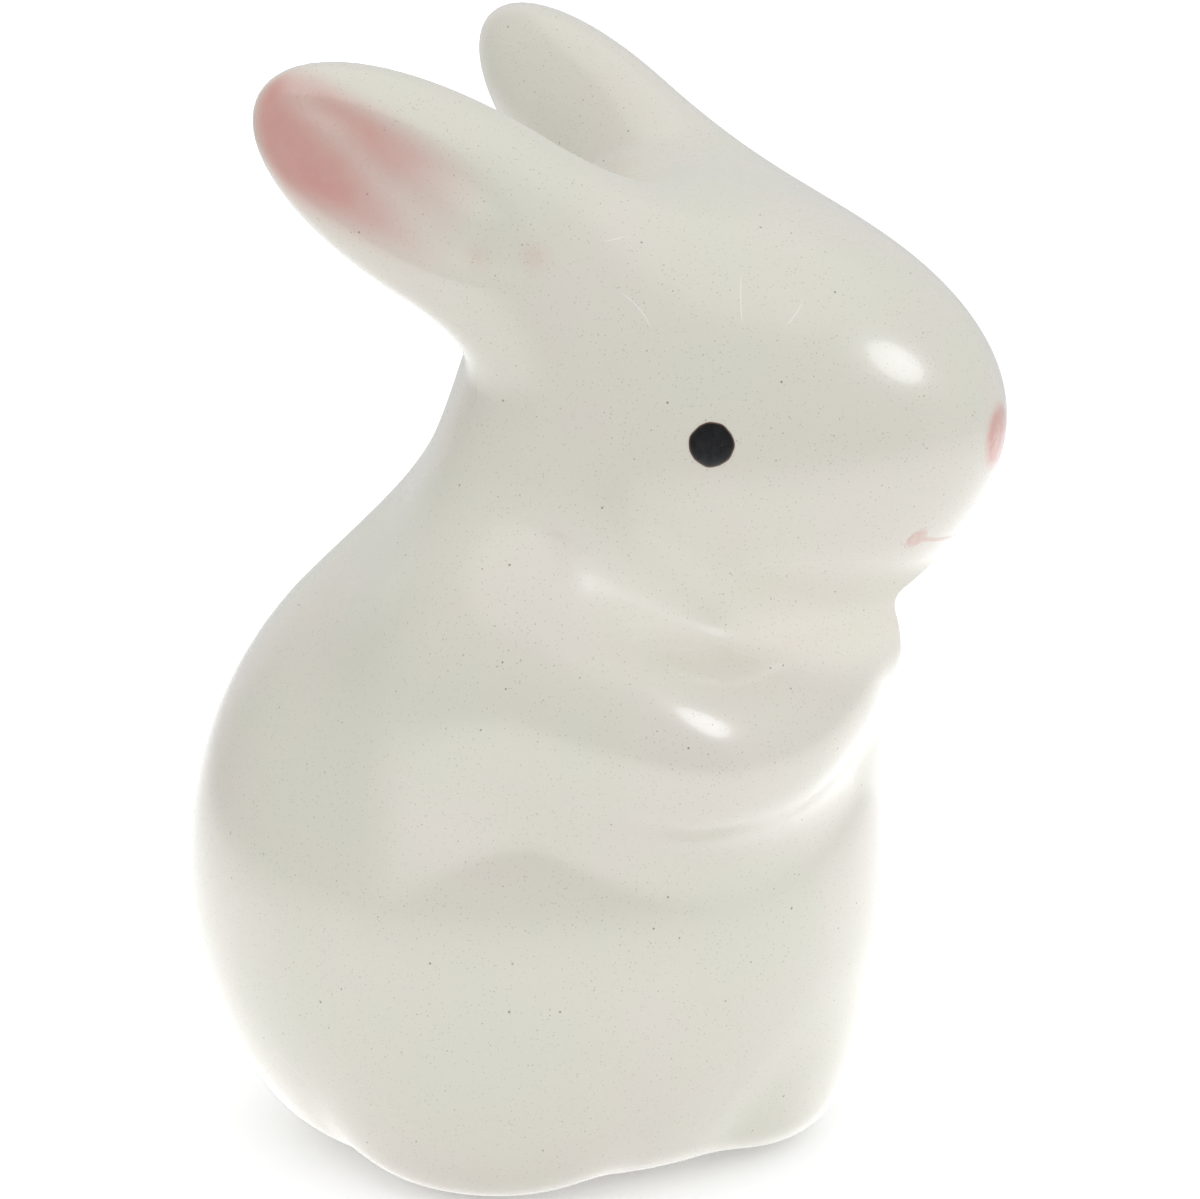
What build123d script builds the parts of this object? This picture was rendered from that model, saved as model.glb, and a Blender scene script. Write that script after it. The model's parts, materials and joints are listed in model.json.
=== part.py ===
from build123d import *
from math import sqrt
import os

# A small sitting rabbit of glazed, slip-cast ceramic.
# +Z is up, the body faces -Y and its left side is +X. The origin lies at the height of the flat foot,
# in the middle of the space that the whole figure takes up.
# Lengths are in millimetres and angles in degrees.
# The castings are luted together with slip and fired into one, so they meet face to face.

# Casting and painting
wall = 3.0
enamel_thickness = 0.3

# Where the middle of the foot stands, seen from the origin
foot_side = -0.75
foot_back = 0.9

# Torso: an egg on its blunt end, leaning forwards
torso_radius = 29.5
torso_widest_height = 22.4
torso_top_length = 32.9
torso_bottom_length = 29.0
torso_lean = 5.0

# Flat foot under the torso, with its vent hole
foot_edge_radius = 1.2
foot_ring_width = 5.0
foot_recess_depth = 0.8
vent_radius = 3.0

# Neck: two upright eggs set into the torso's shoulders, which fill the nape and the throat up to the head
nape_side = 6.4
nape_front = 2.7
nape_drop = 11.4
nape_sink = 3.5
nape_top_length = 22.2
nape_bottom_length = 15.6
throat_side = -0.4
throat_front = 7.0
throat_drop = 14.1
throat_sink = 5.2
throat_top_length = 24.4
throat_bottom_length = 20.0

# Head: an egg that narrows to the nose, turned to the rabbit's left
head_radius = 20.5
head_nose_length = 26.6
head_nose_taper = 1.7
head_back_length = 17.6
head_side = 8.8
head_front = 8.4
head_rise = 5.6
head_turn = 37.0
head_nod = -6.0

# Ears: long leaves laid back, each with a hollow that faces outwards
ear_half_length = 21.8
ear_half_width = 8.3
ear_half_thickness = 5.6
ear_root_side = 8.0
ear_root_back = -8.0
ear_root_rise = 5.0
ear_splay = 22.5
ear_recline = 54.0
ear_twist = 76.0
hollow_radius = 12.0
hollow_bend_radius = 150.0
hollow_depth = 2.4

# Forelegs: they lie along the chest and their paws meet on its midline
foreleg_paw_length = 18.8
foreleg_shoulder_length = 16.8
foreleg_radius = 10.4
foreleg_side = 11.4
foreleg_sink = 4.4
foreleg_drop = 1.2
foreleg_turn = 48.0
foreleg_slope = 18.5

# Hind feet: oval swellings at the foot of the torso
hind_half_depth = 6.6
hind_radius = 10.8
hind_proud = 2.7
hind_centre_height = 9.8
hind_bearing = 44.0

# Tail: a low round scut at the back
tail_radius = 6.5
tail_sink = 3.7
tail_centre_height = 12.5

# Painted eyes, nose and mouth
eye_radius = 1.8
eye_bearing = 62.0
eye_rise = 4.0
nose_half_width = 3.0
nose_half_height = 3.0
nose_drop = 1.9
mouth_half_width = 6.4
mouth_drop = 9.0
mouth_sag = 1.1
mouth_line_width = 0.5
mouth_end_radius = 0.85

# Ends of the eggs: over 1 they narrow faster than an ellipse does, under 1 more slowly
plain_taper = 1.0
limb_taper = 0.65

sides = {"right": -1, "left": 1}


def torso_reach(height):
    """How far the torso's skin stands from its axis at a height, with its halves taken as ellipses."""
    rise = height - torso_widest_height
    half = torso_top_length if rise > 0 else torso_bottom_length
    return torso_radius * sqrt(1 - (rise / half) ** 2)


# Worked out from the sizes above
torso_top = torso_widest_height + torso_top_length
head_height = torso_top + head_rise
nape_height = torso_top - nape_drop
nape_radius = torso_reach(nape_height) - nape_sink
throat_height = torso_top - throat_drop
throat_radius = torso_reach(throat_height) - throat_sink
foreleg_height = head_height - head_radius - foreleg_drop
foreleg_front = sqrt((torso_reach(foreleg_height) - foreleg_sink) ** 2 - foreleg_side**2)
hind_reach = torso_reach(hind_centre_height / 2) + hind_proud - hind_half_depth
tail_reach = torso_reach(tail_centre_height) - tail_sink
overrun = 4 * wall


def arc(centre, start, end):
    """The shorter arc about the centre from the start to the end."""
    centre, start, end = Vector(*centre), Vector(*start), Vector(*end)
    middle = centre + ((start - centre) + (end - centre)).normalized() * (start - centre).length
    return ThreePointArc(start, middle, end)


def half_egg(radius, length, taper, growth, way):
    """Two tangent arcs from the widest point round to the pole that lies that way along Y."""
    cap = radius * (radius / length) ** taper + growth
    radius += growth
    length += growth
    cap_centre = (0, way * (length - cap))
    flank = ((length - cap) ** 2 + radius**2 - cap**2) / (2 * (radius - cap))
    flank_centre = (radius - flank, 0)
    reach = cap / (flank - cap)
    meeting = (
        cap_centre[0] + reach * (cap_centre[0] - flank_centre[0]),
        cap_centre[1] + reach * (cap_centre[1] - flank_centre[1]),
    )
    return [arc(flank_centre, (radius, 0), meeting), arc(cap_centre, meeting, (0, way * length))]


def egg(radius, front, back, front_taper=plain_taper, back_taper=plain_taper, growth=0.0):
    """A solid egg along Y, as long as front towards -Y and as back towards +Y, grown all round."""
    rim = half_egg(radius, front, front_taper, growth, -1) + half_egg(radius, back, back_taper, growth, 1)
    return revolve(make_face([*rim, Line((0, -front - growth), (0, back + growth))]), Axis.Y)


def torso_form(inset=0.0):
    """The torso's egg and the neck in it, smaller by the inset, cut off level at the inset's height."""
    upright = Rot(X=-90)
    trunk = upright * egg(torso_radius, torso_top_length, torso_bottom_length, growth=-inset)
    trunk = Pos(Z=torso_widest_height) * Rot(X=torso_lean) * trunk
    trunk = split(trunk, bisect_by=Plane.XY.offset(inset), keep=Keep.TOP)
    if not inset:
        trunk = fillet(trunk.edges().sort_by(Axis.Z)[0], foot_edge_radius)
    nape = upright * egg(nape_radius, nape_top_length, nape_bottom_length, growth=-inset)
    throat = upright * egg(throat_radius, throat_top_length, throat_bottom_length, growth=-inset)
    neck = Pos(nape_side, -nape_front, nape_height) * nape
    neck += Pos(throat_side, -throat_front, throat_height) * throat
    return trunk + neck


def head_frame():
    """The head's own frame: -Y runs out through the nose and +Z through the crown."""
    return Pos(head_side, -head_front, head_height) * Rot(Z=head_turn) * Rot(X=head_nod)


def head_form(growth=0.0):
    """The head's egg, larger all round by the growth."""
    return head_frame() * egg(head_radius, head_nose_length, head_back_length, head_nose_taper, growth=growth)


torso = torso_form()
head = head_form()
enamelled_head = head_form(enamel_thickness)
head_hollow = head_form(-wall)


def make_torso_shell():
    shell = torso - torso_form(wall) - head_hollow
    foot = torso.faces().sort_by(Axis.Z)[0].bounding_box()
    recess_radius = min(foot.size.X, foot.size.Y) / 2 - foot_ring_width
    recess = Pos(foot.center()) * Cylinder(recess_radius, 2 * foot_recess_depth)
    return shell - recess - Cylinder(vent_radius, overrun)


def make_head_shell():
    return head - head_hollow - torso


def make_ear(side):
    """One ear, from its root inside the head out to its tip."""
    turn = Rot(Z=-side * ear_splay) * Rot(X=90 - ear_recline) * Rot(Y=side * ear_twist)
    root = Pos(side * ear_root_side, ear_root_back, ear_root_rise)
    blade = scale(Sphere(1), by=(ear_half_width, ear_half_length, ear_half_thickness))
    scoop_centre = ear_half_thickness - hollow_depth + hollow_radius - hollow_bend_radius
    scoop = Pos(Z=scoop_centre) * Rot(Y=90) * Torus(hollow_bend_radius, hollow_radius)
    leaf = Pos(Y=ear_half_length) * (blade - scoop)
    return head_frame() * root * turn * leaf - head


def make_foreleg(side):
    place = Pos(side * foreleg_side, -foreleg_front, foreleg_height)
    turn = Rot(Z=-side * foreleg_turn) * Rot(X=foreleg_slope)
    limb = place * turn * egg(foreleg_radius, foreleg_paw_length, foreleg_shoulder_length)
    inner = Keep.TOP if side > 0 else Keep.BOTTOM
    return split(limb, bisect_by=Plane.YZ, keep=inner) - torso - head


def make_hind_foot(side):
    place = Rot(Z=side * hind_bearing) * Pos(0, -hind_reach, hind_centre_height)
    foot = place * egg(hind_radius, hind_half_depth, hind_half_depth, limb_taper, limb_taper)
    return split(foot, bisect_by=Plane.XY, keep=Keep.TOP) - torso


def make_tail():
    return Pos(0, tail_reach, tail_centre_height) * Sphere(tail_radius) - torso


def enamel(outline):
    """A thin coat on the head where the outline, drawn in the head's XZ plane, is pushed onto its front."""
    stamp = extrude(outline, head_nose_length + overrun)
    return (head_frame() * stamp & enamelled_head) - head


def make_eye(side):
    """A dot whose stamp runs out of the head's middle along the eye's own bearing."""
    reach = head_radius + overrun
    dot = Cylinder(eye_radius, reach, align=(Align.CENTER, Align.CENTER, Align.MIN))
    stamp = Rot(Z=side * eye_bearing) * Rot(X=90 - eye_rise) * dot
    return (head_frame() * stamp & enamelled_head) - head


def make_nose():
    return enamel(Plane.XZ * Pos(Y=-nose_drop) * Ellipse(nose_half_width, nose_half_height))


def make_mouth():
    ends = [(-mouth_half_width, -mouth_drop), (mouth_half_width, -mouth_drop)]
    smile = ThreePointArc(ends[0], (0, -mouth_drop - mouth_sag), ends[1])
    line = trace(smile, mouth_line_width)
    for end in ends:
        line += Pos(*end) * Circle(mouth_end_radius)
    return enamel(Plane.XZ * line)


def make_parts():
    parts = {
        "torso_shell": make_torso_shell(),
        "head_shell": make_head_shell(),
        "tail": make_tail(),
        "nose": make_nose(),
        "mouth": make_mouth(),
    }
    for name, side in sides.items():
        parts[f"ear_{name}"] = make_ear(side)
        parts[f"foreleg_{name}"] = make_foreleg(side)
        parts[f"hind_foot_{name}"] = make_hind_foot(side)
        parts[f"eye_{name}"] = make_eye(side)
    return parts


os.makedirs("parts", exist_ok=True)
for node, shape in make_parts().items():
    export_step(Pos(foot_side, foot_back) * shape, f"parts/{node}.step")
    print(node, len(shape.solids()), round(shape.volume, 1))
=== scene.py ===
import json
from collections import namedtuple
from math import cos, radians, sin

import bpy
import numpy as np
from mathutils import Matrix, Vector

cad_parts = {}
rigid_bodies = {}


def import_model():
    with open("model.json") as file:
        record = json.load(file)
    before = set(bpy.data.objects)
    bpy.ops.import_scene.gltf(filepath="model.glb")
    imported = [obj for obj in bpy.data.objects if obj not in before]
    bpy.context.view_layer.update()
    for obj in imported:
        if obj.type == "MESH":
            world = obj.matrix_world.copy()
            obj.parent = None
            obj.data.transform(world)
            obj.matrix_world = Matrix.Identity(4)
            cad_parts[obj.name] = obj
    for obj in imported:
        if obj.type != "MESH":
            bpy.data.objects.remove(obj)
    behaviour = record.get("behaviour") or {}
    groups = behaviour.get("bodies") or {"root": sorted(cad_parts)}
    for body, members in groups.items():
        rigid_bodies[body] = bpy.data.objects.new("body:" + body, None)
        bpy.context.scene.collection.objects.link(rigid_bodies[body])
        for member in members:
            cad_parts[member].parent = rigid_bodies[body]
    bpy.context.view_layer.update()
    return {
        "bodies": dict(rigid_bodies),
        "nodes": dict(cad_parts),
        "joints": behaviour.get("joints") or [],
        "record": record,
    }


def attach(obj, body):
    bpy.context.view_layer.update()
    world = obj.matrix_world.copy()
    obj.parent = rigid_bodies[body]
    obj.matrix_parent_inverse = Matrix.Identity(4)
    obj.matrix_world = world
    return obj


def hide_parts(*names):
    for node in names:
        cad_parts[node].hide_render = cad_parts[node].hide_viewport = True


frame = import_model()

mm = 0.001


# The clay forms
# The figurine is cast in hollow moulds: the torso, the head, the ears, the forelegs, the hind feet and
# the tail are all eggs of white casting clay. The caster lutes them together with slip while they are
# leather-hard, wipes the joints round with a wet sponge and levels the foot.

Egg = namedtuple("Egg", "place turn radii taper")

foot_middle = np.array([-0.75, 0.9, 0.0]) * mm

torso_middle_height = 24.2 * mm
torso_radii = np.array([29.5, 31.1, 29.5]) * mm
torso_taper = -0.057
torso_lean = 5.0

head_place = np.array([11.7, -12.2, 61.2]) * mm
head_radii = np.array([19.8, 22.4, 20.1]) * mm
head_taper = 0.227
head_turn = 36.8
head_nod = -6.4

ear_place = np.array([14.9, 12.1, 18.0]) * mm
ear_radii = np.array([8.3, 22.2, 5.6]) * mm
ear_taper = 0.108
ear_splay = 23.0
ear_rise = 36.4
ear_twist = 76.0

foreleg_place = np.array([11.8, -18.8, 42.8]) * mm
foreleg_shifts = {"right": np.array([1.2, -0.9, 0.0]) * mm, "left": np.array([0.8, 0.9, 0.0]) * mm}
foreleg_radii = np.array([8.8, 16.9, 8.6]) * mm
foreleg_turn = 42.0
foreleg_slope = 23.0
upper_arm_length = 11.3 * mm

hind_reach = 19.7 * mm
hind_height = 9.4 * mm
hind_radii = np.array([10.5, 6.6, 11.3]) * mm
hind_bearing = 43.8

tail_place = np.array([0.0, 24.0, 12.5]) * mm
tail_radius = 6.5 * mm


def turning(*steps):
    """The turns about the named axes in order, the last one nearest the piece, as one numpy matrix."""
    whole = Matrix.Identity(3)
    for axis, angle in steps:
        whole = whole @ Matrix.Rotation(radians(angle), 3, axis)
    return np.array(whole)


def make_castings():
    head_frame = turning(("Z", head_turn), ("X", head_nod))
    head_middle = head_place + foot_middle
    eggs = {
        "torso": Egg(
            foot_middle + np.array([0.0, 0.0, torso_middle_height]),
            turning(("X", torso_lean), ("X", 90)),
            torso_radii,
            torso_taper,
        ),
        "head": Egg(head_middle, head_frame, head_radii, head_taper),
        "tail": Egg(foot_middle + tail_place, np.eye(3), np.full(3, tail_radius), 0.0),
    }
    for name, side in (("right", -1), ("left", 1)):
        mirrored = np.array([side, 1, 1])
        eggs[f"ear_{name}"] = Egg(
            head_middle + head_frame @ (ear_place * mirrored),
            head_frame @ turning(("Z", -side * ear_splay), ("X", ear_rise), ("Y", side * ear_twist)),
            ear_radii,
            ear_taper,
        )
        eggs[f"foreleg_{name}"] = Egg(
            foot_middle + foreleg_place * mirrored + foreleg_shifts[name],
            turning(("Z", -side * foreleg_turn), ("X", foreleg_slope)),
            foreleg_radii,
            0.0,
        )
        bearing = turning(("Z", side * hind_bearing))
        eggs[f"hind_foot_{name}"] = Egg(
            foot_middle + bearing @ np.array([0.0, -hind_reach, 0.0]) + np.array([0.0, 0.0, hind_height]),
            bearing,
            hind_radii,
            0.0,
        )
    return eggs


castings = make_castings()


# The luted joints
# Slip fills each joint to a soft fillet: broad at the nape and the shoulders, tight under the chin.
# The outer face of each ear is pressed hollow, and the foot is levelled round a shallow recess with the
# vent that lets the air out while the ware is fired.

near_ear_joint = 7.0 * mm
far_ear_joint = 9.5 * mm
forepaw_joint = 4.4 * mm
shoulder_joint = 13.0 * mm
paw_joint = 11.0 * mm
hind_joint = 4.0 * mm
chin_joint = 1.8 * mm
nape_joint = 14.8 * mm
chin_end = -14.0 * mm
nape_start = 10.0 * mm
throat_left = 28.0 * mm
throat_right = -10.0 * mm
throat_bearing = -30.0
fill_sharpness = 6
shoulder_lead = 0.5
foot_rounding = 4.0 * mm

hollow_depth = 1.8 * mm
hollow_middle_share = -0.2
hollow_width_share = 0.6
hollow_tip_share = 0.97
hollow_root_share = -0.15
hollow_end_steepness = 1.2
hollow_rim_steepness = 2.0

recess_radius = 13.4 * mm
recess_depth = 0.8 * mm
vent_radius = 3.0 * mm
vent_depth = 9.0 * mm
recess_rounding = 0.5 * mm
nearly_nothing = 1e-6


def outside(points, egg, back_length=None):
    """How far each point lies outside an egg, in metres, true near its skin."""
    local = (points - egg.place) @ egg.turn
    swell = 1 + egg.taper * np.clip(local[:, 1] / egg.radii[1], -1, 1)
    local[:, 0] /= swell
    local[:, 2] /= swell
    radii = np.tile(egg.radii, (len(points), 1))
    if back_length:
        radii[local[:, 1] > 0, 1] = back_length
    share = np.linalg.norm(local / radii, axis=1)
    slope = np.linalg.norm(local / radii**2, axis=1)
    return share * (share - 1) / np.maximum(slope, nearly_nothing)


def luted(first, second, joint):
    """Two forms as one, with a fillet of slip as wide as the joint between them."""
    mix = np.clip(0.5 + 0.5 * (second - first) / joint, 0, 1)
    return second + (first - second) * mix - joint * mix * (1 - mix)


def cut_away(form, tool, joint):
    """A form without what lies in the tool, with the new edge rounded over."""
    return -luted(-form, tool, joint)


def eased(value):
    """A soft rise from 0 to 1 while the value does the same."""
    value = np.clip(value, 0, 1)
    return value * value * (3 - 2 * value)


def on_ear(points, egg, side):
    """Shares of the ear's half sizes: across to the upper rim, along to the tip, and outwards."""
    return (points - egg.place) @ egg.turn / egg.radii * np.array([-side, 1, 1])


def ear_outside(points, egg, side):
    """An ear with its outer face pressed hollow from the tip towards the root."""
    across, along, up = on_ear(points, egg, side).T
    middle = (hollow_tip_share + hollow_root_share) / 2
    reach = (hollow_tip_share - hollow_root_share) / 2
    lengthwise = np.clip(1 - ((along - middle) / reach) ** 2, 0, 1)
    width = hollow_width_share * np.sqrt(lengthwise) + nearly_nothing
    crosswise = np.clip(1 - ((across - hollow_middle_share) / width) ** 2, 0, 1)
    depth = hollow_depth * crosswise**2 * eased(hollow_end_steepness * lengthwise)
    return outside(points, egg) + depth * eased(hollow_rim_steepness * up)


def figurine(points):
    """How far each point lies outside the whole luted figurine."""
    body = outside(points, castings["torso"])
    forelegs = [castings["foreleg_right"], castings["foreleg_left"]]
    arms = luted(*(outside(points, foreleg, upper_arm_length) for foreleg in forelegs), paw_joint)
    up_arm = [((points - foreleg.place) @ foreleg.turn)[:, 1] for foreleg in forelegs]
    shoulder = eased(np.maximum(*up_arm) / upper_arm_length + shoulder_lead)
    body = luted(body, arms, forepaw_joint + (shoulder_joint - forepaw_joint) * shoulder)
    for name in ("hind_foot_right", "hind_foot_left", "tail"):
        body = luted(body, outside(points, castings[name]), hind_joint)
    head = outside(points, castings["head"])
    for name, side, joint in (("ear_right", -1, near_ear_joint), ("ear_left", 1, far_ear_joint)):
        head = luted(head, ear_outside(points, castings[name], side), joint)
    level = points - foot_middle
    back = eased((level[:, 1] - chin_end) / (nape_start - chin_end))
    sideways = level @ turning(("Z", throat_bearing))[:, 0]
    right = eased((throat_left - sideways) / (throat_left - throat_right))
    filled = (back**fill_sharpness + right**fill_sharpness) ** (1 / fill_sharpness)
    whole = luted(body, head, chin_joint + (nape_joint - chin_joint) * filled)
    whole = cut_away(whole, level[:, 2], foot_rounding)
    from_axis = np.hypot(level[:, 0], level[:, 1])
    for radius, depth in ((recess_radius, recess_depth), (vent_radius, vent_depth)):
        whole = cut_away(whole, np.maximum(from_axis - radius, level[:, 2] - depth), recess_rounding)
    return whole


egg_segments = 64
egg_rings = 32
disc_segments = 96
clay_grid = 0.52 * mm
settling_rounds = 8
steps_per_round = 2
evening_share = 0.6
longest_step = 2 * clay_grid
probe = 0.02 * mm
least_growth = 0.3


def deselect():
    for thing in bpy.context.selected_objects:
        thing.select_set(False)


def pick(thing):
    """Selects one thing alone and makes it the active one."""
    deselect()
    thing.select_set(True)
    bpy.context.view_layer.objects.active = thing


def add_rough_egg(egg):
    bpy.ops.mesh.primitive_uv_sphere_add(segments=egg_segments, ring_count=egg_rings, radius=1)
    form = bpy.context.object
    placed = np.eye(4)
    placed[:3, :3] = egg.turn * egg.radii
    placed[:3, 3] = egg.place
    form.data.transform(Matrix(placed))
    return form


def add_rough_disc(radius, low, high):
    """A round tool on the foot's axis that cuts away what lies between the two heights."""
    bpy.ops.mesh.primitive_cylinder_add(vertices=disc_segments, radius=radius, depth=high - low)
    disc = bpy.context.object
    disc.data.transform(Matrix.Translation(Vector(foot_middle) + Vector((0, 0, (low + high) / 2))))
    return disc


def remesh(thing):
    pick(thing)
    grid = thing.modifiers.new("grid", "REMESH")
    grid.mode = "VOXEL"
    grid.voxel_size = clay_grid
    bpy.ops.object.modifier_apply(modifier=grid.name)


def positions(mesh):
    flat = np.empty(3 * len(mesh.vertices))
    mesh.vertices.foreach_get("co", flat)
    return flat.reshape(-1, 3)


def steepest(points, form):
    """The direction straight out of a form at each point, and how fast the distance grows along it."""
    slope = np.empty_like(points)
    for axis in range(3):
        step = np.zeros(3)
        step[axis] = probe
        slope[:, axis] = (form(points + step) - form(points - step)) / (2 * probe)
    size = np.linalg.norm(slope, axis=1, keepdims=True)
    return slope / np.maximum(size, nearly_nothing), np.maximum(size[:, 0], least_growth)


def settle(thing, form):
    """Draws a rough mesh onto the form, evening out its faces between the steps."""
    mesh = thing.data
    ends = np.empty(2 * len(mesh.edges), dtype=int)
    mesh.edges.foreach_get("vertices", ends)
    here, there = np.concatenate([ends.reshape(-1, 2), ends.reshape(-1, 2)[:, ::-1]]).T
    count = len(mesh.vertices)
    neighbours = np.bincount(here, minlength=count)
    points = positions(mesh)
    for remaining in reversed(range(settling_rounds)):
        if remaining:
            total = np.stack([np.bincount(here, points[there, axis], count) for axis in range(3)], axis=1)
            points += evening_share * (total / neighbours[:, None] - points)
        for _ in range(steps_per_round):
            outward, growth = steepest(points, form)
            reach = np.clip(form(points) / growth, -longest_step, longest_step)
            points -= outward * reach[:, None]
    mesh.vertices.foreach_set("co", points.ravel())
    mesh.update()
    return outward


def make_clay():
    forms = [add_rough_egg(egg) for egg in castings.values()]
    pick(forms[0])
    for form in forms[1:]:
        form.select_set(True)
    bpy.ops.object.join()
    clay = bpy.context.object
    clay.name = "glazed_rabbit"
    remesh(clay)
    beyond = 2 * torso_radii[0]
    below = add_rough_disc(beyond, -beyond, 0)
    recess = add_rough_disc(recess_radius, -recess_depth, recess_depth)
    vent = add_rough_disc(vent_radius, -recess_depth, vent_depth)
    for tool in (below, recess, vent):
        pick(clay)
        cut = clay.modifiers.new("cut", "BOOLEAN")
        cut.operation = "DIFFERENCE"
        cut.object = tool
        bpy.ops.object.modifier_apply(modifier=cut.name)
        bpy.data.objects.remove(tool)
    remesh(clay)
    outward = settle(clay, figurine)
    pick(clay)
    bpy.ops.object.shade_smooth()
    clay.data.normals_split_custom_set_from_vertices(outward)
    return clay


glazed_rabbit = make_clay()


# The pink in the ears
# Pink underglaze colour is sprayed into each ear's hollow before glazing. It is dense at the tip and along
# the lower edge, thins out towards the root, and has run into two small pools at the hollow's lower end.
# A paler slanting streak through the pink is a painted highlight, standing in for the hollow's reflection.

Pool = namedtuple("Pool", "across along strength")

blush_middle_share = -0.2
blush_width_share = 0.5
blush_edge_share = 0.2
blush_end_share = 0.06
blush_fade_share = 0.6
# Painted highlight: a slanting streak where the pink is thinned, in place of the bright reflection along
# the hollow.
highlight_streak_share = 0.02
highlight_streak_along_share = 0.75
highlight_streak_lean = 0.76
highlight_streak_width_share = 0.15
highlight_streak_strength = 0.4
highlight_streak_end_steepness = 6
blush_rim_steepness = 3
pool_radius = 1.1 * mm
pools = (Pool(-0.37, 0.05, 0.2), Pool(-0.11, -0.11, 0.24))


def blush_on_ear(points, egg, side):
    """How dense the pink lies: thinner towards the root, paler on a slanting streak that is a painted
    highlight, and pooled below.
    """
    across, along, up = on_ear(points, egg, side).T
    lengthwise = eased((along - blush_end_share) / blush_fade_share)
    off_middle = np.abs(across - blush_middle_share)
    crosswise = eased((blush_width_share + blush_edge_share - off_middle) / (2 * blush_edge_share))
    # Painted highlight: the pink is thinned along this slanting streak to stand in for a reflection.
    off_highlight_streak = across - highlight_streak_share - highlight_streak_lean * (along - highlight_streak_along_share)
    painted_highlight = np.exp(-((off_highlight_streak / highlight_streak_width_share) ** 2))
    painted_highlight *= eased(highlight_streak_end_steepness * (1 - along))
    blush = lengthwise * crosswise * (1 - highlight_streak_strength * painted_highlight)
    for pool in pools:
        apart = np.hypot((across - pool.across) * egg.radii[0], (along - pool.along) * egg.radii[1])
        blush = np.maximum(blush, pool.strength * np.exp(-((apart / pool_radius) ** 2)))
    return blush * eased(blush_rim_steepness * up)


def add_attribute(thing, name, values):
    thing.data.attributes.new(name, "FLOAT", "POINT").data.foreach_set("value", values)


skin_points = positions(glazed_rabbit.data)
near_blush = blush_on_ear(skin_points, castings["ear_right"], -1)
far_blush = blush_on_ear(skin_points, castings["ear_left"], 1)
add_attribute(glazed_rabbit, "blush", np.maximum(near_blush, far_blush))


# The glaze
# A clear glossy glaze, dipped and fired, covers the white clay down to the foot. Iron in the clay shows
# through as dark specks, the colour drifts with the glaze's thickness, and a few hairlines mark the head.
# In the crease under the chin the glaze is dull, and its colour is lightened there: painted light that
# lifts the shade of the crease.

crease_reach = 6.5 * mm
crease_lead = 1.4
crease_roughness = 0.8
# Painted light: a lighter colour for the chin crease, against the shade that falls in it.
crease_painted_light = (1.17, 1.17, 1.19, 1)


def dull_crease(points):
    """1 in the tight joint between the head and the body, and 0 away from it."""
    bodies = [outside(points, castings[name]) for name in ("torso", "foreleg_right", "foreleg_left")]
    apart = np.minimum.reduce(bodies) + outside(points, castings["head"])
    return eased(crease_lead - apart / crease_reach)


add_attribute(glazed_rabbit, "crease", dull_crease(skin_points))

glaze_colour = (0.7, 0.672, 0.588, 1)
warm_drift = (1.02, 0.992, 0.99, 1)
cool_drift = (0.985, 1.0, 0.965, 1)
drift_size = 16 * mm
drift_limits = (0.35, 0.65)
speck_colour = (0.2, 0.17, 0.13, 1)
speck_core_share = 0.5
ripple_size = 7 * mm
ripple_height = 0.012
thick_glaze_roughness = 0.25
thin_glaze_roughness = 0.3
gloss_limits = (0.3, 0.7)
glaze_ior = 1.5
sheen_share = 0.35
sheen_roughness = 0.1
bare_clay_colour = (0.72, 0.66, 0.56, 1)
bare_clay_roughness = 0.8
glaze_edge_height = 0.35 * mm
glaze_edge_spread = 0.25
bare_ring_inset = 0.5 * mm
blush_colour = (0.61, 0.32, 0.28, 1)
blush_cloud_size = 2.5 * mm
blush_cloud_limits = (0.25, 0.7)
thinnest_blush = 0.88
hairline_colour = (0.9, 0.89, 0.86, 1)
hairline_width = 0.05 * mm
hairline_core_share = 0.4
hairline_strength = 0.6

Specks = namedtuple("Specks", "spacing smallest largest darkness")
Hairline = namedtuple("Hairline", "start end bow")

speck_layers = (
    Specks(0.33 * mm, 0.1, 0.3, 0.3),
    Specks(0.75 * mm, 0.04, 0.14, 0.5),
    Specks(2.1 * mm, 0.02, 0.08, 0.8),
)

hairlines = (
    Hairline((4.4, -22.1, 75.7), (2.9, -24.8, 71.7), 0.12),
    Hairline((-4.6, -18.1, 74.2), (-3.2, -21.3, 71.4), -0.5),
    Hairline((5.9, -26.2, 71.9), (8.1, -25.3, 73.6), 0.1),
    Hairline((-5.2, -16.0, 77.8), (-2.5, -17.0, 78.6), 0.1),
)


def add_node(tree, kind, inputs=None, **settings):
    """A shader node; each of its inputs is given a value or linked to another node's output."""
    node = tree.nodes.new("ShaderNode" + kind)
    for name, value in settings.items():
        setattr(node, name, value)
    for name, value in (inputs or {}).items():
        if isinstance(value, bpy.types.NodeSocket):
            tree.links.new(value, node.inputs[name])
        else:
            node.inputs[name].default_value = value
    return node


def calculate(tree, operation, first, second=0.0):
    """The result of one sum on two numbers or outputs."""
    return add_node(tree, "Math", {0: first, 1: second}, operation=operation).outputs[0]


def mix_colours(tree, factor, first, second, blend_type="MIX"):
    node = add_node(tree, "Mix", {0: factor, 6: first, 7: second}, data_type="RGBA", blend_type=blend_type)
    return node.outputs[2]


def ramp(tree, value, low, high, low_result=0.0, high_result=1.0):
    """A smooth step between two results while the value passes from low to high."""
    limits = {0: value, 1: low, 2: high, 3: low_result, 4: high_result}
    return add_node(tree, "MapRange", limits, interpolation_type="SMOOTHSTEP").outputs[0]


def object_place(tree):
    return add_node(tree, "TexCoord").outputs["Object"]


def clouds(tree, place, size, detail):
    """Soft random clouds of a size, from 0 to 1."""
    return add_node(tree, "TexNoise", {"Vector": place, "Scale": 1 / size, "Detail": detail}).outputs[0]


def distance_from(tree, place, point):
    return add_node(tree, "VectorMath", {0: place, 1: tuple(point)}, operation="DISTANCE").outputs["Value"]


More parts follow.
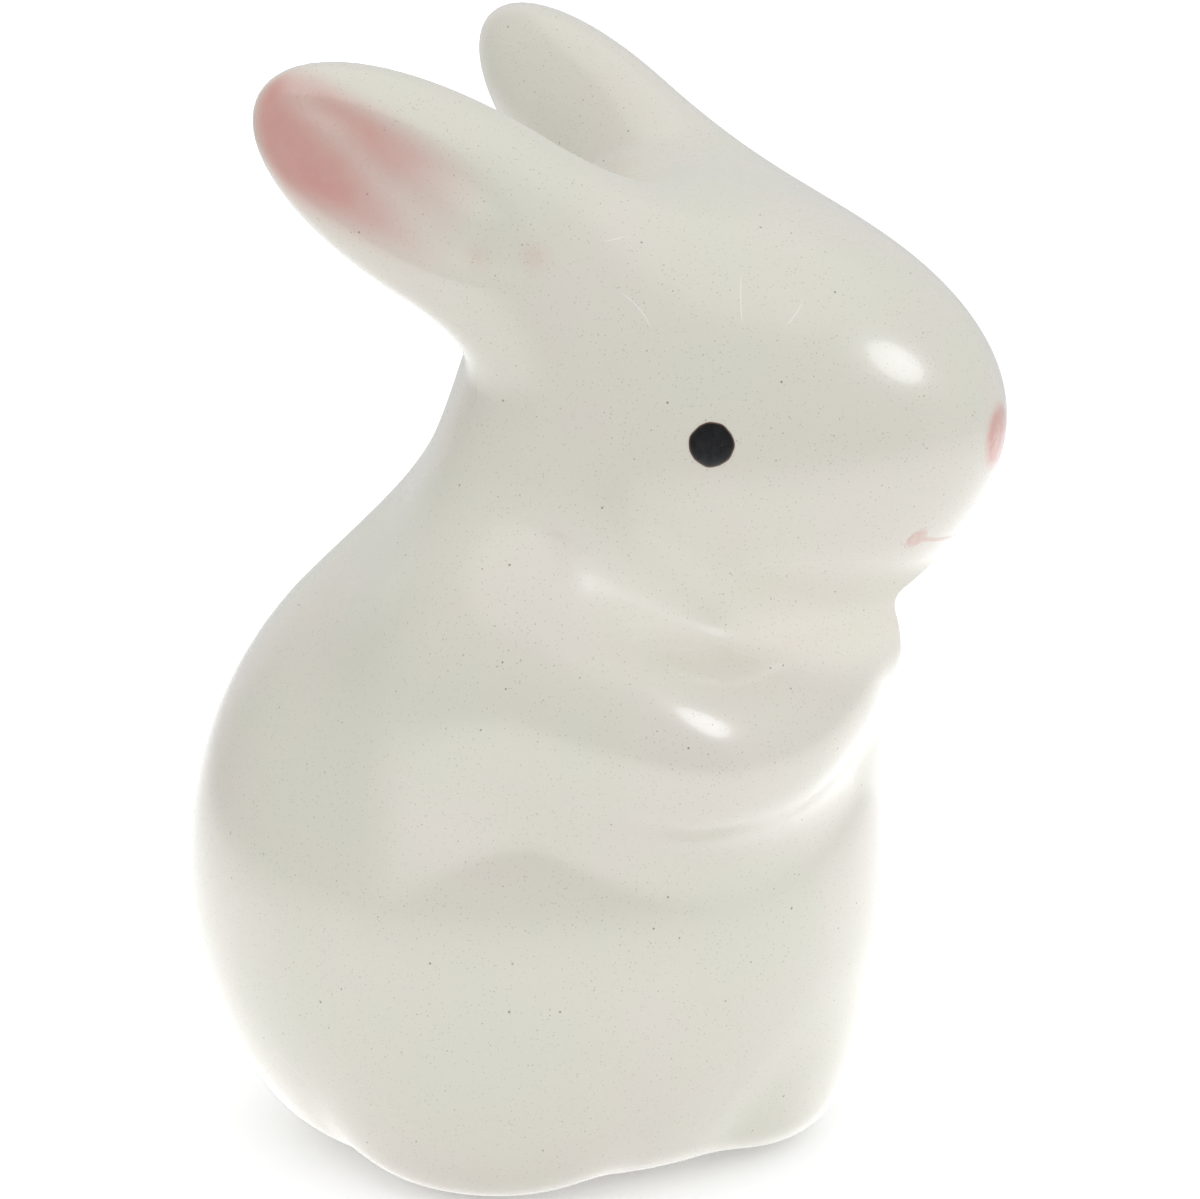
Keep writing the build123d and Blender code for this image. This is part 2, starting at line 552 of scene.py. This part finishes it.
def speck_mask(tree, place, specks):
    """Round specks strewn through the clay: each cell holds one, and only its cut with the skin shows."""
    cells = add_node(tree, "TexVoronoi", {"Vector": place, "Scale": 1 / specks.spacing})
    size = calculate(tree, "MULTIPLY", cells.outputs["Color"], specks.largest - specks.smallest)
    size = calculate(tree, "ADD", size, specks.smallest)
    share = calculate(tree, "DIVIDE", cells.outputs["Distance"], size)
    return calculate(tree, "MULTIPLY", ramp(tree, share, 1.0, speck_core_share), specks.darkness)


def make_glazed_clay():
    """Glazed clay: the drift of its colour, its specks, its gloss and the ripples of its glaze."""
    group = bpy.data.node_groups.new("glazed clay", "ShaderNodeTree")
    group.interface.new_socket("Colour", in_out="INPUT", socket_type="NodeSocketColor")
    for name, kind in (("Colour", "Color"), ("Roughness", "Float"), ("Ripple", "Float")):
        group.interface.new_socket(name, in_out="OUTPUT", socket_type=f"NodeSocket{kind}")
    given = group.nodes.new("NodeGroupInput")
    result = group.nodes.new("NodeGroupOutput")
    place = object_place(group)
    drift = clouds(group, place, drift_size, detail=2)
    tint = mix_colours(group, ramp(group, drift, *drift_limits), warm_drift, cool_drift)
    colour = mix_colours(group, 1.0, given.outputs["Colour"], tint, "MULTIPLY")
    speckled = 0.0
    for specks in speck_layers:
        speckled = calculate(group, "MAXIMUM", speck_mask(group, place, specks), speckled)
    group.links.new(mix_colours(group, speckled, colour, speck_colour), result.inputs["Colour"])
    ripple = calculate(group, "MULTIPLY", clouds(group, place, ripple_size, detail=1), ripple_height)
    group.links.new(ripple, result.inputs["Ripple"])
    roughness = ramp(group, drift, *gloss_limits, thick_glaze_roughness, thin_glaze_roughness)
    group.links.new(roughness, result.inputs["Roughness"])
    return group


glazed_clay = make_glazed_clay()


def add_glazed_clay(tree, colour):
    node = tree.nodes.new("ShaderNodeGroup")
    node.node_tree = glazed_clay
    node.inputs["Colour"].default_value = colour
    return node


def new_material(name):
    material = bpy.data.materials.new(name)
    material.use_nodes = True
    return material, material.node_tree, material.node_tree.nodes["Principled BSDF"]


def painted_on(tree, name):
    """The share that an attribute of the skin gives at each place."""
    return add_node(tree, "Attribute", attribute_name=name).outputs["Fac"]


def bump(tree, height):
    """A bump from heights in millimetres."""
    return add_node(tree, "Bump", {"Height": height, "Distance": mm}).outputs[0]


def hairline_mask(tree, place, hairline):
    """A fine arc on the skin: where a ball's surface, as thin as the hairline, cuts it near the arc."""
    start, end = (np.array(point) * mm for point in (hairline.start, hairline.end))
    middle = (start + end) / 2
    length = np.linalg.norm(end - start)
    outward = steepest(middle[None], figurine)[0][0]
    sideways = np.cross(outward, (end - start) / length) * np.sign(hairline.bow)
    bow = abs(hairline.bow) * mm
    radius = length**2 / (8 * bow) + bow / 2
    ball = middle + sideways * (radius - bow)
    off_arc = calculate(tree, "SUBTRACT", distance_from(tree, place, ball), radius)
    off_arc = calculate(tree, "ABSOLUTE", off_arc)
    thin = ramp(tree, off_arc, hairline_width, hairline_core_share * hairline_width)
    ends = ramp(tree, distance_from(tree, place, middle), length / 2, length / 4)
    return calculate(tree, "MULTIPLY", thin, ends)


def bare_foot_mask(tree, place):
    """1 on the unglazed ring, its recess and the vent, and 0 on the glaze."""
    height = add_node(tree, "SeparateXYZ", {0: place}).outputs["Z"]
    glazed_from = (1 + glaze_edge_spread) * glaze_edge_height
    bare_from = (1 - glaze_edge_spread) * glaze_edge_height
    below = ramp(tree, height, glazed_from, bare_from)
    from_foot = distance_from(tree, place, foot_middle)
    inside = ramp(tree, from_foot, recess_radius + 2 * bare_ring_inset, recess_radius + bare_ring_inset)
    return calculate(tree, "MAXIMUM", below, inside)


def make_white_glaze():
    material, tree, shader = new_material("white glaze")
    place = object_place(tree)
    glaze = add_glazed_clay(tree, glaze_colour)
    crease = painted_on(tree, "crease")
    bare = bare_foot_mask(tree, place)
    cloud = clouds(tree, place, blush_cloud_size, detail=3)
    density = ramp(tree, cloud, *blush_cloud_limits, thinnest_blush, 1.0)
    blush = calculate(tree, "MULTIPLY", painted_on(tree, "blush"), density)
    scratched = 0.0
    for hairline in hairlines:
        scratched = calculate(tree, "MAXIMUM", hairline_mask(tree, place, hairline), scratched)
    scratched = calculate(tree, "MULTIPLY", scratched, hairline_strength)
    # Painted light: the chin crease's colour is lightened to lift its shade.
    colour = mix_colours(tree, crease, glaze.outputs["Colour"], crease_painted_light, "MULTIPLY")
    colour = mix_colours(tree, blush, colour, blush_colour)
    colour = mix_colours(tree, scratched, colour, hairline_colour)
    colour = mix_colours(tree, bare, colour, bare_clay_colour)
    roughness = calculate(tree, "MULTIPLY", crease, crease_roughness)
    roughness = calculate(tree, "MAXIMUM", roughness, glaze.outputs["Roughness"])
    bare_roughness = calculate(tree, "MULTIPLY", bare, bare_clay_roughness)
    roughness = calculate(tree, "MAXIMUM", roughness, bare_roughness)
    dull = calculate(tree, "MAXIMUM", bare, crease)
    tree.links.new(colour, shader.inputs["Base Color"])
    tree.links.new(roughness, shader.inputs["Roughness"])
    tree.links.new(ramp(tree, dull, 0.0, 1.0, sheen_share, 0.0), shader.inputs["Coat Weight"])
    tree.links.new(bump(tree, glaze.outputs["Ripple"]), shader.inputs["Normal"])
    shader.inputs["Coat Roughness"].default_value = sheen_roughness
    shader.inputs["IOR"].default_value = glaze_ior
    return material


glazed_rabbit.data.materials.clear()
glazed_rabbit.data.materials.append(make_white_glaze())
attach(glazed_rabbit, "root")
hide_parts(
    "torso_shell",
    "head_shell",
    "ear_right",
    "ear_left",
    "foreleg_right",
    "foreleg_left",
    "hind_foot_right",
    "hind_foot_left",
    "tail",
)


# The painted eyes
# Each eye is one round dab of black enamel from a brush, fired onto the glaze. It dries satin, stands
# slightly proud, and its uneven edge is thin and brown.

face_place = np.array([8.8, -8.4, 60.9]) * mm
face_frame = turning(("Z", head_turn), ("X", head_nod))
eye_radius = 1.75 * mm
eye_bearing = 61.4
eye_rise = 3.5
eye_height = 0.14 * mm
paint_sink = 0.12 * mm
eye_colour = (0.012, 0.012, 0.013, 1)
eye_edge_colour = (0.13, 0.07, 0.04, 1)
eye_edge_limits = (0.02, 0.09)
eye_edge_waves = ((7, 0.01, 0), (4, 0.012, 1), (11, 0.006, 2))
brush_stroke_size = 0.5 * mm
brush_stroke_limits = (0.3, 0.7)
brush_stroke_height = 0.02
wet_enamel_roughness = 0.26
dry_enamel_roughness = 0.42
marking_reach = 30 * mm
marking_steps = 60
marking_step_share = 0.8


def laid_on_skin(flat, lift, frame):
    """Flat points, marked out from the middle of the face along the frame's last axis, laid on the skin."""
    points = foot_middle + face_place + flat @ frame[:, :2].T + frame[:, 2] * marking_reach
    for _ in range(marking_steps):
        points -= frame[:, 2] * marking_step_share * figurine(points)[:, None]
    return points + steepest(points, figurine)[0] * lift[:, None]


def add_paint(name, flat_of, frame, segments, rings):
    """A dab of paint: a ball pressed flat, its upper half above the skin and its lower half sunk in it."""
    deselect()
    bpy.ops.mesh.primitive_uv_sphere_add(segments=segments, ring_count=rings, radius=1)
    dab = bpy.context.object
    dab.name = name
    flat, lift, strength = flat_of(positions(dab.data))
    dab.data.vertices.foreach_set("co", laid_on_skin(flat, lift, frame).ravel())
    dab.data.update()
    bpy.ops.object.shade_smooth()
    add_attribute(dab, "strength", strength)
    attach(dab, "root")
    return dab


def eye_dab(ball):
    """A round dab with an uneven edge, full right up to it."""
    angle = np.arctan2(ball[:, 1], ball[:, 0])
    edge = 1 + sum(height * np.cos(count * angle + start) for count, height, start in eye_edge_waves)
    flat = ball[:, :2] * (eye_radius * edge)[:, None]
    lift = np.where(ball[:, 2] > 0, eye_height * np.sqrt(np.abs(ball[:, 2])), paint_sink * ball[:, 2])
    return flat, lift, np.clip(1 - np.hypot(ball[:, 0], ball[:, 1]), 0, 1)


def make_black_enamel():
    material, tree, shader = new_material("black enamel")
    strokes = clouds(tree, object_place(tree), brush_stroke_size, detail=2)
    within = ramp(tree, painted_on(tree, "strength"), *eye_edge_limits)
    roughness = ramp(tree, strokes, *brush_stroke_limits, wet_enamel_roughness, dry_enamel_roughness)
    relief = bump(tree, calculate(tree, "MULTIPLY", strokes, brush_stroke_height))
    tree.links.new(mix_colours(tree, within, eye_edge_colour, eye_colour), shader.inputs["Base Color"])
    tree.links.new(roughness, shader.inputs["Roughness"])
    tree.links.new(relief, shader.inputs["Normal"])
    shader.inputs["IOR"].default_value = glaze_ior
    return material


black_enamel = make_black_enamel()
for side_name, side in (("right", -1), ("left", 1)):
    eye_frame = face_frame @ turning(("Z", side * eye_bearing), ("X", 90 - eye_rise))
    painted_eye = add_paint(f"painted_eye_{side_name}", eye_dab, eye_frame, segments=64, rings=32)
    painted_eye.data.materials.append(black_enamel)
    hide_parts(f"eye_{side_name}")


# The painted nose
# The nose is a soft touch of pink enamel at the tip of the muzzle, brushed on so thin that it fades into
# the glaze all round, and fired with the eyes.

nose_half_width = 3.0 * mm
nose_half_height = 3.2 * mm
nose_drop = 2.2 * mm
nose_height = 0.03 * mm
pink_enamel_colour = (0.62, 0.31, 0.26, 1)
pink_cloud_size = 0.9 * mm
pink_cloud_limits = (0.3, 0.7)
pink_edge_steepness = 2.2
thinnest_pink_share = 0.7
front_frame = face_frame @ turning(("X", 90))


def nose_dab(ball):
    """An upright oval whose strength fades out towards its edge."""
    flat = ball[:, :2] * np.array([nose_half_width, nose_half_height]) - np.array([0, nose_drop])
    lift = np.where(ball[:, 2] > 0, nose_height * ball[:, 2] ** 2, paint_sink * ball[:, 2])
    return flat, lift, eased(pink_edge_steepness * (1 - np.hypot(ball[:, 0], ball[:, 1])))


def make_pink_enamel(name, full_strength):
    """Pink enamel so thin that the glazed clay shows through it."""
    material, tree, shader = new_material(name)
    glaze = add_glazed_clay(tree, glaze_colour)
    cloud = clouds(tree, object_place(tree), pink_cloud_size, detail=3)
    density = ramp(tree, cloud, *pink_cloud_limits, thinnest_pink_share * full_strength, full_strength)
    strength = calculate(tree, "MULTIPLY", painted_on(tree, "strength"), density)
    colour = mix_colours(tree, strength, glaze.outputs["Colour"], pink_enamel_colour)
    tree.links.new(colour, shader.inputs["Base Color"])
    tree.links.new(glaze.outputs["Roughness"], shader.inputs["Roughness"])
    tree.links.new(bump(tree, glaze.outputs["Ripple"]), shader.inputs["Normal"])
    shader.inputs["Coat Weight"].default_value = sheen_share
    shader.inputs["Coat Roughness"].default_value = sheen_roughness
    shader.inputs["IOR"].default_value = glaze_ior
    return material


painted_nose = add_paint("painted_nose", nose_dab, front_frame, segments=64, rings=32)
painted_nose.data.materials.append(make_pink_enamel("pink nose enamel", 1.0))
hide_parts("nose")


# The painted mouth
# The mouth is one fine stroke of the same pink enamel under the nose. It ends in a small blob on each
# side, where the brush set down and where it lifted.

mouth_half_width = 6.4 * mm
mouth_drop = 9.0 * mm
mouth_sag = 1.1 * mm
mouth_line_half_width = 0.2 * mm
mouth_end_radius = 0.85 * mm
mouth_height = 0.03 * mm
mouth_strength = 0.6


def mouth_dab(ball):
    """The ball's poles become the ends of the stroke, and its rings are spread evenly along it."""
    along = (mouth_half_width + mouth_end_radius) * (1 - 2 * np.arccos(np.clip(ball[:, 2], -1, 1)) / np.pi)
    around = np.arctan2(ball[:, 1], ball[:, 0])
    from_end = (np.abs(along) - mouth_half_width) / mouth_end_radius
    blob = mouth_end_radius * np.sqrt(np.clip(1 - from_end**2, 0, 1))
    line = np.where(from_end < 0, mouth_line_half_width, 0)
    half_width = np.maximum(blob, line)
    share = along / mouth_half_width
    slope = np.arctan(2 * mouth_sag * share / mouth_half_width)
    across = half_width * np.cos(around)
    sunk = mouth_sag * (share**2 - 1) - mouth_drop
    flat = np.stack([along - across * np.sin(slope), sunk + across * np.cos(slope)], axis=1)
    fullness = half_width / mouth_line_half_width
    rise = np.sin(around) * np.minimum(fullness, 1)
    lift = np.where(rise > 0, mouth_height * rise, paint_sink) * rise
    return flat, lift, eased(pink_edge_steepness * (1 - np.abs(np.cos(around)))) * eased(fullness)


painted_mouth = add_paint("painted_mouth", mouth_dab, front_frame, segments=24, rings=160)
painted_mouth.data.materials.append(make_pink_enamel("pink mouth enamel", mouth_strength))
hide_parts("mouth")


# The studio
# White paper lies under the figurine. A soft window and a small key lamp light it from the camera's right,
# and a round curtain, dark in front and on the left and pale behind, shows in its glaze. The lens is long.

camera_bearing = -30.2
camera_height = 14.5
camera_distance = 400 * mm
camera_side = 5.03 * mm
camera_target_height = 44.86 * mm
focal_pixels = 4820
image_pixels = 1200
sensor_width = 36

aim = Vector((0, 0, 45 * mm))
lamp_colour = (0.95, 0.98, 1.06)
window_place = (90, 25, 0.8)
window_size = (0.7, 0.8)
window_brightness = 0.12
key_place = (62, 35, 0.7)
key_size = (0.22, 0.26)
key_brightness = 7
room_light = (1.0, 1.02, 1.05, 1)
white = (1, 1, 1, 1)

floor_size = 4
floor_colour = (0.88, 0.88, 0.88, 1)
paper_roughness = 0.9
floor_lift = 0.35
floor_shine = 0.8

curtain_segments = 128
curtain_radius = 1.1
curtain_height = 1.9
curtain_fade_share = 0.6
curtain_bearing = -40
curtain_reach = 100
curtain_edge = 15
cloth_roughness = 0.9
dark_cloth = (0.12, 0.12, 0.12, 1)
pale_cloth = (0.66, 0.66, 0.66, 1)
paper_bearing = 75
paper_shift = 40 * mm
paper_bright_radius = 0.02
paper_dark_radius = 0.4


def add_camera():
    data = bpy.data.cameras.new("camera")
    camera = bpy.data.objects.new("camera", data)
    bpy.context.scene.collection.objects.link(camera)
    bearing, height = radians(camera_bearing), radians(camera_height)
    backwards = Vector((sin(bearing) * cos(height), -cos(bearing) * cos(height), sin(height)))
    sideways = Vector((cos(bearing), sin(bearing), 0))
    target = Vector(foot_middle) + sideways * camera_side + Vector((0, 0, camera_target_height))
    camera.location = target + backwards * camera_distance
    camera.rotation_euler = backwards.to_track_quat("Z", "Y").to_euler()
    data.sensor_width = sensor_width
    data.lens = data.sensor_width * focal_pixels / image_pixels
    data.clip_start = 10 * mm
    bpy.context.scene.camera = camera


def around_camera(bearing, height, distance):
    """A place around the figurine: bearing in degrees to the right of the camera, height in degrees."""
    turned, risen = radians(camera_bearing + bearing), radians(height)
    return aim + distance * Vector((sin(turned) * cos(risen), -cos(turned) * cos(risen), sin(risen)))


def add_lamp(name, place, size, brightness):
    """A soft oval of light as bright as a white surface times the brightness."""
    data = bpy.data.lights.new(name, "AREA")
    data.shape = "ELLIPSE"
    data.size, data.size_y = size
    data.energy = brightness * np.pi * np.pi / 4 * size[0] * size[1]
    data.color = lamp_colour
    lamp = bpy.data.objects.new(name, data)
    bpy.context.scene.collection.objects.link(lamp)
    lamp.location = place
    lamp.rotation_euler = (aim - place).to_track_quat("-Z", "Y").to_euler()
    return lamp


def make_curtain_cloth():
    """Cloth that is dark about one bearing and thins out at its top and round the figurine's foot."""
    material, tree, shader = new_material("curtain cloth")
    place = object_place(tree)
    height = add_node(tree, "SeparateXYZ", {0: place}).outputs["Z"]
    drawn = ramp(tree, height, curtain_height, curtain_fade_share * curtain_height)
    level = add_node(tree, "VectorMath", {0: place, 1: (1, 1, 0)}, operation="MULTIPLY").outputs["Vector"]
    paper_middle = around_camera(paper_bearing, 0, paper_shift) * Vector((1, 1, 0))
    laid = ramp(tree, distance_from(tree, level, paper_middle), paper_bright_radius, paper_dark_radius)
    tree.links.new(calculate(tree, "MULTIPLY", drawn, laid), shader.inputs["Alpha"])
    turned = radians(camera_bearing + curtain_bearing)
    middle = (sin(turned), -cos(turned), 0)
    way = add_node(tree, "VectorMath", {0: level}, operation="NORMALIZE").outputs["Vector"]
    faced = add_node(tree, "VectorMath", {0: way, 1: middle}, operation="DOT_PRODUCT").outputs["Value"]
    pale_from = cos(radians(curtain_reach + curtain_edge))
    dark_from = cos(radians(curtain_reach - curtain_edge))
    colour = mix_colours(tree, ramp(tree, faced, pale_from, dark_from), pale_cloth, dark_cloth)
    tree.links.new(colour, shader.inputs["Base Color"])
    shader.inputs["Roughness"].default_value = cloth_roughness
    return material


def add_curtain():
    """The round curtain, with its cloth spread over the paper too, seen in reflections only."""
    deselect()
    bpy.ops.mesh.primitive_cylinder_add(
        vertices=curtain_segments, radius=curtain_radius, depth=curtain_height
    )
    curtain = bpy.context.object
    curtain.name = "round_curtain"
    curtain.data.transform(Matrix.Translation((0, 0, curtain_height / 2 + mm)))
    curtain.visible_camera = False
    curtain.visible_diffuse = False
    curtain.visible_shadow = False
    curtain.data.materials.append(make_curtain_cloth())


def seen_straight(tree):
    """1 for what the camera, a reflection or a clear piece shows, and 0 for light on a surface."""
    path = add_node(tree, "LightPath").outputs
    mirrored = calculate(tree, "MAXIMUM", path["Is Glossy Ray"], path["Is Transmission Ray"])
    return calculate(tree, "MAXIMUM", path["Is Camera Ray"], mirrored)


def add_floor():
    deselect()
    bpy.ops.mesh.primitive_plane_add(size=floor_size)
    floor = bpy.context.object
    floor.name = "paper_floor"
    material, tree, shader = new_material("white paper")
    shader.inputs["Base Color"].default_value = floor_colour
    shader.inputs["Roughness"].default_value = paper_roughness
    shader.inputs["Emission Color"].default_value = white
    mirrored = add_node(tree, "LightPath").outputs["Is Glossy Ray"]
    shine = calculate(tree, "MULTIPLY", mirrored, floor_shine)
    lift = calculate(tree, "MULTIPLY", seen_straight(tree), floor_lift)
    tree.links.new(calculate(tree, "ADD", shine, lift), shader.inputs["Emission Strength"])
    floor.data.materials.append(material)


def light_room():
    world = bpy.data.worlds.new("studio")
    bpy.context.scene.world = world
    world.use_nodes = True
    tree = world.node_tree
    colour = mix_colours(tree, seen_straight(tree), room_light, white)
    tree.links.new(colour, tree.nodes["Background"].inputs["Color"])


add_camera()
soft_window = add_lamp("soft_window", around_camera(*window_place), window_size, window_brightness)
soft_window.visible_glossy = False
key = add_lamp("key", around_camera(*key_place), key_size, key_brightness)
key.visible_diffuse = False
add_curtain()
add_floor()
light_room()
bpy.context.scene.view_settings.view_transform = "Standard"
